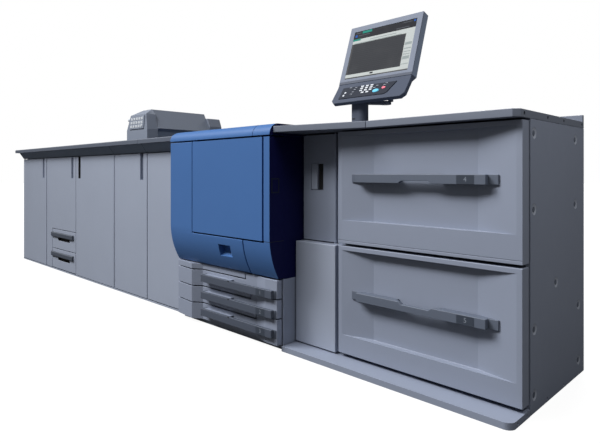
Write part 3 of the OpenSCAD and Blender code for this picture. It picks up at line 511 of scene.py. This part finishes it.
# Wings behind the feeder drawers' bars, with room for fingers between them
WING_D = 24 * MM
BAR_BACK = 19 * MM
FOOT_OUT = 38 * MM
FINGER_HALF = 95 * MM
for bar in ("upper_drawer_handle", "lower_drawer_handle"):
    bar_low, bar_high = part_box(bar)
    bar_mid = (bar_low.x + bar_high.x) / 2
    wings = [
        block((left, bar_low.y + BAR_BACK, bar_low.z + 0.5 * MM),
              (right, bar_low.y + BAR_BACK + WING_D, bar_high.z - 0.5 * MM), 1.5 * MM)
        for left, right in ((bar_low.x + FOOT_OUT, bar_mid - FINGER_HALF),
                            (bar_mid + FINGER_HALF, bar_high.x - FOOT_OUT))]
    finished(bar + "_wings", merged(wings), HANDLE, BODY_OF[bar])

# Plugs in the feeder's side panel, and the dark ends of the bolt holes
side_low, side_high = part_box("feeder_side_panel")
top_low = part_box("feeder_worktop")[0]
PLUG_DEPTH = 3 * MM
PLUG_R = 10 * MM
DISH_R = (11 * MM, 19.6 * MM)
PLUG_SPOTS = ((32, 964), (32, 701), (35, 288), (35, 62), (467, 960), (467, 701), (247, 419), (507, 288),
              (507, 63))
dishes = []
plugs = []
for along, up in PLUG_SPOTS:
    mouth = Vector((side_high.x, side_low.y + along * MM, up * MM))
    floor_at = mouth - Vector((PLUG_DEPTH - 0.2 * MM, 0, 0))
    dish = rod(floor_at, mouth, DISH_R[0], tip=DISH_R[1])
    bmesh.ops.delete(dish, geom=[f for f in dish.faces if f.normal.x > 0.9], context="FACES")
    dishes.append(dish)
    plugs.append(rod(floor_at, floor_at + Vector((1.0 * MM, 0, 0)), PLUG_R))
# The dishes are lighter than the panel round them: painted highlight.
finished("plug_dishes_painted_highlight", merged(dishes), PLUG_SEAT_PAINTED_HIGHLIGHT, "frame")
finished("side_plugs", merged(plugs), HANDLE, "frame")
HOLE_IN = 3 * MM
TOP_HOLE_Z = top_low.z + 14 * MM
TOP_HOLE_R = 6.6 * MM
FOOT_HOLE_Z = 12 * MM
FOOT_HOLE_R = 4.6 * MM
holes = []
for along in (48, 264, 434, 654):
    mouth = Vector((side_high.x - HOLE_IN, top_low.y + along * MM, TOP_HOLE_Z))
    holes.append(rod(mouth - Vector((20 * MM, 0, 0)), mouth, TOP_HOLE_R))
for along in (157, 329):
    mouth = Vector((side_high.x - HOLE_IN, side_low.y + along * MM, FOOT_HOLE_Z))
    holes.append(rod(mouth - Vector((12 * MM, 0, 0)), mouth, FOOT_HOLE_R))
finished("bolt_hole_ends", merged(holes), BLACK, "frame")

# Pull in the column door: a flap on the left, a dark slot beside it
PULL_X = (48 * MM, 130 * MM)
PULL_Z = (747 * MM, 870 * MM)
PULL_D = 15 * MM
FLAP_W = 40 * MM
SLOT_W = 24 * MM
pull_l = column_low.x + PULL_X[0]
pull_back = column_low.y + PULL_D
flap = block((pull_l + 1.5 * MM, column_low.y + 1 * MM, PULL_Z[0] + 1.5 * MM),
             (pull_l + FLAP_W, pull_back, PULL_Z[1] - 1.5 * MM), 2 * MM)
finished("column_pull_flap", flap, PALE, "column_door")
pull_slot = block((pull_l + FLAP_W, pull_back - 1 * MM, PULL_Z[0] + 0.5 * MM),
                  (pull_l + FLAP_W + SLOT_W, pull_back, PULL_Z[1] - 0.5 * MM))
finished("column_pull_slot", pull_slot, BLACK, "column_door")

# Latch socket on the engine's right side
cover_low, cover_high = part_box("engine_right_cover")
SOCKET_Y = (11 * MM, 61 * MM)
SOCKET_Z = (733 * MM, 803 * MM)
socket_low = Vector((cover_high.x, cover_low.y + SOCKET_Y[0], SOCKET_Z[0]))
socket_high = Vector((cover_high.x + 1 * MM, cover_low.y + SOCKET_Y[1], SOCKET_Z[1]))
RIM = 7 * MM
finished("latch_socket", merged([
    block(socket_low, (socket_high.x, socket_low.y + RIM, socket_high.z)),
    block((socket_low.x, socket_high.y - RIM, socket_low.z), socket_high),
    block((socket_low.x, socket_low.y + RIM, socket_low.z),
          (socket_high.x, socket_high.y - RIM, socket_low.z + RIM)),
    block((socket_low.x, socket_low.y + RIM, socket_high.z - RIM),
          (socket_high.x, socket_high.y - RIM, socket_high.z)),
]), SOCKET, "frame")

# Seams of the dark fascia, under the seams of the worktops
fascia_low, fascia_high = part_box("front_fascia")
door_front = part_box("stacker_door")[0].y
SEAM_X = (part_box("stacker_body")[1].x - 8 * MM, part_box("inserter_cabinet")[1].x - 11 * MM)
FASCIA_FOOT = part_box("stacker_door")[1].z + 5 * MM
SEAM_ACROSS = Vector((2.4 * MM, 0, 0))
SEAM_OUT = Vector((0, -0.5 * MM, -0.4 * MM))
seams = []
for seam_x in SEAM_X:
    lower = Vector((seam_x, door_front + 2 * MM, FASCIA_FOOT))
    upper = Vector((seam_x, fascia_low.y, fascia_high.z))
    stretch = Matrix((SEAM_ACROSS, 3 * SEAM_OUT, upper - lower)).transposed().to_4x4()
    seam = bmesh.new()
    bmesh.ops.create_cube(seam, size=1.0)
    seams.append(placed(seam, Matrix.Translation((lower + upper - SEAM_OUT) / 2) @ stretch))
finished("fascia_seams", merged(seams), BLACK, "frame")

# Screws of the back panels
SCREW_IN = 30 * MM
SCREW_Z = (60 * MM, 350 * MM, 650 * MM, 960 * MM)
screws = []
for unit in ("finisher_body", "stacker_body", "inserter_cabinet", "relay_body", "feeder_column",
             "feeder_back_panel"):
    unit_low, unit_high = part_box(unit)
    for x in (unit_low.x + SCREW_IN, unit_high.x - SCREW_IN):
        for z in SCREW_Z:
            seat = Vector((x, unit_high.y - 1 * MM, z))
            screws.append(rod(seat, seat + Vector((0, 3 * MM, 0)), 6 * MM, 20, tip=5 * MM))
finished("back_screws", merged(screws), STEEL, "frame")

# Blue strip just behind the toner door's left seam, on the door that carries that seam
toner_low, toner_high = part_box("toner_door")
strip_low = Vector((toner_low.x - 5 * MM, toner_low.y + 3 * MM, toner_low.z + 2 * MM))
strip_high = Vector((toner_low.x + 0.5 * MM, toner_low.y + 4.5 * MM, toner_high.z - 2 * MM))
finished("toner_seam_strip", block(strip_low, strip_high), BLUE, BODY_OF["lower_front_door"])

# Display: its own frame runs across, back through it and up along its slope
LEAN = math.radians(18.5)
BEZEL = 26 * MM
GLASS_FRONT = 1 * MM
GLASS_BACK = 4 * MM
glass_low, glass_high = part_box("display_screen")
GLASS_W = glass_high.x - glass_low.x
foot_y = glass_low.y - GLASS_FRONT * math.cos(LEAN) - BEZEL * math.sin(LEAN)
foot_z = glass_low.z + GLASS_BACK * math.sin(LEAN) - BEZEL * math.cos(LEAN)
display_mid = (glass_low.x + glass_high.x) / 2
DISPLAY_AT = Matrix.Translation((display_mid, foot_y, foot_z)) @ Matrix.Rotation(-LEAN, 4, "X")
GLASS_H = (glass_high.z - glass_low.z - (GLASS_BACK - GLASS_FRONT) * math.sin(LEAN)) / math.cos(LEAN)


def on_glass(across, up, lift):
    """Flat field on the glass, by shares of its width and height, a little in front of it."""
    low = (-GLASS_W / 2 + across[0] * GLASS_W, GLASS_FRONT - lift, BEZEL + up[0] * GLASS_H)
    high = (-GLASS_W / 2 + across[1] * GLASS_W, GLASS_FRONT, BEZEL + up[1] * GLASS_H)
    return placed(block(low, high), DISPLAY_AT)


def glass_fields(name, material, lift, fields):
    finished(name, merged([on_glass(across, up, lift * MM) for across, up in fields]), material, "display")


glass_fields("screen_top_bar", SCREEN_DARK, 0.15, [((0.0, 1.0), (0.835, 1.0))])
glass_fields("screen_light_bands", SCREEN_LIGHT, 0.15, [
    ((0.0, 0.875), (0.735, 0.83)), ((0.875, 1.0), (0.09, 0.83)), ((0.0, 1.0), (0.025, 0.09))])
glass_fields("screen_panel", SCREEN_PANEL, 0.2, [((0.025, 0.865), (0.095, 0.725))])
glass_fields("screen_panel_lines", SCREEN_LINE, 0.3,
             [((0.03, 0.86), (0.12 + 0.04 * i, 0.123 + 0.04 * i)) for i in range(15)])
glass_fields("screen_column_bands", SCREEN_MID, 0.3, [
    ((0.885, 0.985), (0.50, 0.55)), ((0.885, 0.985), (0.22, 0.28)), ((0.885, 0.985), (0.42, 0.44)),
    ((0.885, 0.985), (0.36, 0.375)), ((0.885, 0.985), (0.31, 0.325)), ((0.88, 0.99), (0.12, 0.135)),
    ((0.30, 0.72), (0.775, 0.79)), ((0.03, 0.8), (0.735, 0.75))])
glass_fields("screen_teal_tabs", SCREEN_TEAL, 0.3, [((0.14, 0.3), (0.94, 0.99)), ((0.0, 0.13), (0.80, 0.84))])
glass_fields("screen_blue_marks", SCREEN_BLUE, 0.3, [
    ((0.025, 0.06), (0.88, 0.93)), ((0.955, 0.985), (0.945, 0.985))])
glass_fields("screen_small_blocks", SCREEN_DARK, 0.3, [((0.41, 0.46), (0.045, 0.075))])
glass_fields("screen_text_rows", SCREEN_TEXT, 0.3, [
    ((0.03, 0.12), (0.955, 0.97)), ((0.08, 0.27), (0.9, 0.915)),
    ((0.7, 0.9), (0.86, 0.875)), ((0.8, 0.93), (0.955, 0.968))])
CHIN_HALF = GLASS_W / 2 + BEZEL - 1 * MM
chin = block((-CHIN_HALF, -0.8 * MM, 0.5 * MM), (CHIN_HALF, 0.0, 13 * MM))
finished("display_chin", placed(chin, DISPLAY_AT), STAND, "display")
RIM_BACK = 38 * MM
display_h = GLASS_H + 2 * BEZEL
display_half = GLASS_W / 2 + BEZEL
for side, name in ((-1, "display_left_side"), (1, "display_right_side")):
    inner = side * (display_half - 0.4 * MM)
    outer = side * (display_half + 0.3 * MM)
    rim = block((min(inner, outer), 6 * MM, 3 * MM), (max(inner, outer), RIM_BACK, display_h - 3 * MM))
    finished(name, placed(rim, DISPLAY_AT), FASCIA, "display")

# Key shelf: shares run across from the left and up from the front edge
SHELF_PITCH = math.radians(54.4)
SHELF_L = 91 * MM
SHELF_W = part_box("key_shelf")[1].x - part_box("key_shelf")[0].x
SHELF_FOOT = Vector((display_mid, foot_y - 10 * MM, foot_z - 19 * MM))
SHELF_AT = Matrix.Translation(SHELF_FOOT) @ Matrix.Rotation(SHELF_PITCH, 4, "X")
PANEL_T = 3 * MM
KEY_T = 2 * MM


def shelf_spot(across, up, height):
    return Vector(((across - 0.5) * SHELF_W, (up - 1.0) * SHELF_L, height))


def shelf_plate(outline, low, high):
    """Flat plate on the shelf with an outline in shares."""
    bm = bmesh.new()
    base = bm.faces.new([bm.verts.new(shelf_spot(across, up, low)) for across, up in outline])
    raised = bmesh.ops.extrude_face_region(bm, geom=[base])["geom"]
    bmesh.ops.translate(bm, verts=[e for e in raised if isinstance(e, bmesh.types.BMVert)],
                        vec=(0, 0, high - low))
    bmesh.ops.recalc_face_normals(bm, faces=bm.faces[:])
    return bm


PANEL_OUTLINE = [(0.1, 0.24), (0.73, 0.24), (0.765, 0.32), (0.84, 0.97), (0.1, 0.97)]
key_panel = shelf_plate(PANEL_OUTLINE, -0.5 * MM, PANEL_T)
rounded(key_panel, 1.2 * MM, 2, [e for e in key_panel.edges if all(v.co.z > 0 for v in e.verts)])
finished("key_panel", placed(key_panel, SHELF_AT), KEY_PANEL, "display")


def key(across, up, width, depth):
    middle = shelf_spot(across, up, 0.0)
    cap = block((middle.x - width / 2, middle.y - depth / 2, PANEL_T - 0.2 * MM),
                (middle.x + width / 2, middle.y + depth / 2, PANEL_T + KEY_T), 0.6 * MM)
    return placed(cap, SHELF_AT)


NUMBER_KEY = (15 * MM, 8 * MM)
FUNCTION_KEY = (13 * MM, 4 * MM)
FUNCTION_SPOTS = ((0.22, 0.9), (0.3, 0.88), (0.29, 0.76), (0.28, 0.6), (0.27, 0.46), (0.6, 0.82),
                  (0.57, 0.7), (0.72, 0.9), (0.7, 0.8))
number_keys = [key(across, up, *NUMBER_KEY) for up in (0.9, 0.77, 0.63) for across in (0.39, 0.455, 0.52)]
number_keys += [key(across, 0.49, *NUMBER_KEY) for across in (0.425, 0.49)]
number_keys += [key(0.17, 0.6, 9 * MM, 9 * MM), key(0.16, 0.42, 10 * MM, 9 * MM)]
finished("number_keys", merged(number_keys), WHITE_KEY, "display")
small_keys = [key(across, up, *FUNCTION_KEY) for across, up in FUNCTION_SPOTS]
finished("function_keys", merged(small_keys), GREY_KEY, "display")


def oval_key(across, up, width, depth):
    bm = bmesh.new()
    bmesh.ops.create_cone(bm, cap_ends=True, segments=40, radius1=0.5, radius2=0.42, depth=1.0)
    middle = shelf_spot(across, up, PANEL_T + KEY_T / 2)
    stretch = Matrix.Diagonal((width, depth, KEY_T * 1.4, 1.0))
    return placed(bm, SHELF_AT @ Matrix.Translation(middle) @ stretch)


finished("start_key", oval_key(0.605, 0.5, 34 * MM, 21 * MM), CYAN_KEY, "display")
finished("stop_key", oval_key(0.7, 0.63, 21 * MM, 15 * MM), RED_KEY, "display")

# Small slots at the foot of the display's post
post_low, post_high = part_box("monitor_post")
slot_x = (post_low.x + post_high.x) / 2 - 14 * MM
slot_front = post_low.y - 0.6 * MM
slot_back = post_low.y + 2 * MM
slots = [
    block((slot_x - half * MM, slot_front, post_low.z + foot * MM),
          (slot_x + half * MM, slot_back, post_low.z + head * MM))
    for half, foot, head in ((8, 26, 31), (4, 12, 16))]
finished("post_slots", merged(slots), BLACK, "frame")

# Keys and knob of the sheet inserter
pad_low, pad_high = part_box("inserter_keypad")
PAD_LEAN = 12 / 105


def pad_front(z):
    return pad_low.y + (z - pad_low.z) * PAD_LEAN


PAD_KEY_W = 26 * MM
PAD_KEY_H = 18 * MM
pad_w = pad_high.x - pad_low.x
pad_h = pad_high.z - pad_low.z
pad_keys = []
for row in range(3):
    for column in range(5):
        if row == 0 and column == 4:
            continue
        key_x = pad_low.x + pad_w * (0.14 + 0.18 * column)
        key_z = pad_low.z + pad_h * (0.2 + 0.29 * row)
        key_y = pad_front(key_z)
        pad_keys.append(block((key_x - PAD_KEY_W / 2, key_y - 2.5 * MM, key_z - PAD_KEY_H / 2),
                              (key_x + PAD_KEY_W / 2, key_y + 1.5 * MM, key_z + PAD_KEY_H / 2), 1 * MM))
finished("inserter_keys", merged(pad_keys), WHITE_KEY, "frame")
round_x = pad_low.x + pad_w * 0.86
round_z = pad_low.z + pad_h * 0.22
round_at = Vector((round_x, pad_front(round_z) + 1 * MM, round_z))
round_key = rod(round_at, round_at - Vector((0, 5 * MM, 0)), 12 * MM, tip=10 * MM)
finished("inserter_round_key", round_key, WHITE_KEY, "frame")
housing_low, housing_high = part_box("inserter_housing")
knob_at = Vector((housing_low.x + 34 * MM, housing_low.y + 26 * MM, housing_high.z - 66 * MM))
knob = rod(knob_at, knob_at - Vector((46 * MM, 0, 0)), 13 * MM, tip=12 * MM)
rounded(knob, 2 * MM, 2)
finished("inserter_knob", knob, WHITE_KEY, "frame")

# Studio: a floor that whitens with distance, a white world that gives little light, and four lamps
FLOOR_LIFT = 0.95
FLOOR_NEAR = 2.5
FLOOR_FAR = 7.0
WORLD_LIGHT = 0.13


def studio_floor():
    bm = bmesh.new()
    bmesh.ops.create_grid(bm, x_segments=1, y_segments=1, size=40.0)
    mesh = bpy.data.meshes.new("floor")
    bm.to_mesh(mesh)
    bm.free()
    floor = bpy.data.objects.new("floor", mesh)
    scene.collection.objects.link(floor)
    material = bpy.data.materials.new("floor_white")
    material.use_nodes = True
    tree = material.node_tree
    shader = tree.nodes["Principled BSDF"]
    shader.inputs["Base Color"].default_value = (0.06, 0.06, 0.06, 1.0)
    shader.inputs["Roughness"].default_value = 0.9
    path = tree.nodes.new("ShaderNodeLightPath")
    shader.inputs["Emission Color"].default_value = (1.0, 1.0, 1.0, 1.0)
    spot = tree.nodes.new("ShaderNodeTexCoord")
    reach = tree.nodes.new("ShaderNodeVectorMath")
    reach.operation = "LENGTH"
    tree.links.new(spot.outputs["Object"], reach.inputs[0])
    fade = tree.nodes.new("ShaderNodeMapRange")
    fade.inputs["From Min"].default_value = FLOOR_NEAR
    fade.inputs["From Max"].default_value = FLOOR_FAR
    fade.inputs["To Min"].default_value = FLOOR_LIFT
    fade.inputs["To Max"].default_value = 1.0
    tree.links.new(reach.outputs["Value"], fade.inputs["Value"])
    lift = tree.nodes.new("ShaderNodeMath")
    lift.operation = "MULTIPLY"
    tree.links.new(path.outputs["Is Camera Ray"], lift.inputs[0])
    tree.links.new(fade.outputs["Result"], lift.inputs[1])
    tree.links.new(lift.outputs[0], shader.inputs["Emission Strength"])
    mesh.materials.append(material)


def studio_world():
    world = bpy.data.worlds.new("studio")
    scene.world = world
    world.use_nodes = True
    tree = world.node_tree
    back = tree.nodes["Background"]
    back.inputs["Color"].default_value = (1.0, 1.0, 1.0, 1.0)
    path = tree.nodes.new("ShaderNodeLightPath")
    strength = tree.nodes.new("ShaderNodeMapRange")
    strength.inputs["To Min"].default_value = WORLD_LIGHT
    strength.inputs["To Max"].default_value = 1.0
    tree.links.new(path.outputs["Is Camera Ray"], strength.inputs["Value"])
    tree.links.new(strength.outputs["Result"], back.inputs["Strength"])


def softbox(name, place, target, size, power):
    light = bpy.data.lights.new(name, "AREA")
    light.shape = "RECTANGLE"
    light.size, light.size_y = size
    light.energy = power
    lamp = bpy.data.objects.new(name, light)
    lamp.location = place
    lamp.rotation_euler = (Vector(target) - Vector(place)).to_track_quat("-Z", "Y").to_euler()
    scene.collection.objects.link(lamp)


def far_light(name, towards, strength, spread_deg):
    light = bpy.data.lights.new(name, "SUN")
    light.energy = strength
    light.angle = math.radians(spread_deg)
    lamp = bpy.data.objects.new(name, light)
    lamp.rotation_euler = (-Vector(towards)).to_track_quat("-Z", "Y").to_euler()
    scene.collection.objects.link(lamp)


studio_floor()
studio_world()
softbox("key", (0.2, -3.55, 4.8), (0.4, 0.0, 0.5), (3.2, 1.4), 205.0)
softbox("side_fill", (3.7, -0.5, 2.7), (2.38, 0.1, 0.9), (0.9, 0.9), 21.5)
far_light("left_light", (-1.18, -0.92, 1.4), 2.55, 22.0)
far_light("back_light", (-0.3, 1.0, 0.7), 1.4, 20.0)


def picture_camera():
    data = bpy.data.cameras.new("picture")
    data.sensor_width = SENSOR_MM
    data.lens = FOCAL_PX / PICTURE_W * SENSOR_MM
    data.shift_y = (HORIZON_PX - PICTURE_H / 2) / PICTURE_W
    camera = bpy.data.objects.new("picture", data)
    plinth_low, plinth_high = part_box("feeder_plinth")
    camera.location = Vector((plinth_high.x, plinth_low.y, 0.0)) + CAMERA_FROM_FEEDER
    camera.rotation_euler = (math.radians(90.0), 0.0, math.radians(CAMERA_YAW))
    scene.collection.objects.link(camera)
    scene.camera = camera


picture_camera()
